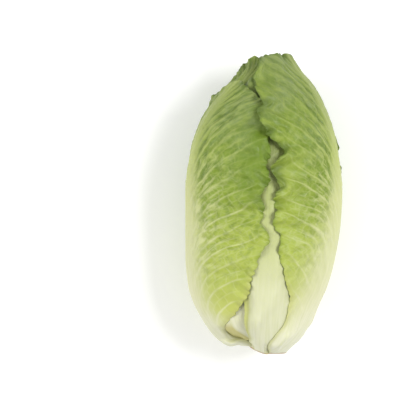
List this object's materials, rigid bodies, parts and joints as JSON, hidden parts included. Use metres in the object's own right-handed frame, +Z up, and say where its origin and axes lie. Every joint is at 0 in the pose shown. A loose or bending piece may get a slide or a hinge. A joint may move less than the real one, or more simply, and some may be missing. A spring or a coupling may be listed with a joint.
{
  "type": "romaine lettuce",
  "caption": "Closed head of baby romaine lettuce lying on its side, with ribbed, wavy-edged leaves wrapped round a short cut stem.",
  "frame": {"origin": "on the surface that the head lies on, under the middle of its box in X and Y", "axes": "+Y along the head from the cut stem to the leaf tips, +Z up, +X to the head's right seen from above with the tips away"},
  "size_m": [0.0978, 0.185, 0.0773],
  "materials": {
    "stem_cream": null,
    "heart_yellow_green": null,
    "leaf_green": null
  },
  "bodies": {
    "root": {"stem": "stem_cream", "inner_leaf_1": "heart_yellow_green", "inner_leaf_2": "heart_yellow_green", "inner_leaf_3": "heart_yellow_green", "inner_leaf_4": "heart_yellow_green", "inner_leaf_5": "heart_yellow_green", "inner_leaf_6": "heart_yellow_green", "inner_leaf_7": "heart_yellow_green", "upper_left_leaf": "leaf_green", "front_leaf": "leaf_green", "left_leaf": "leaf_green", "right_leaf": "leaf_green", "back_leaf": "leaf_green"}
  },
  "joints": []
}
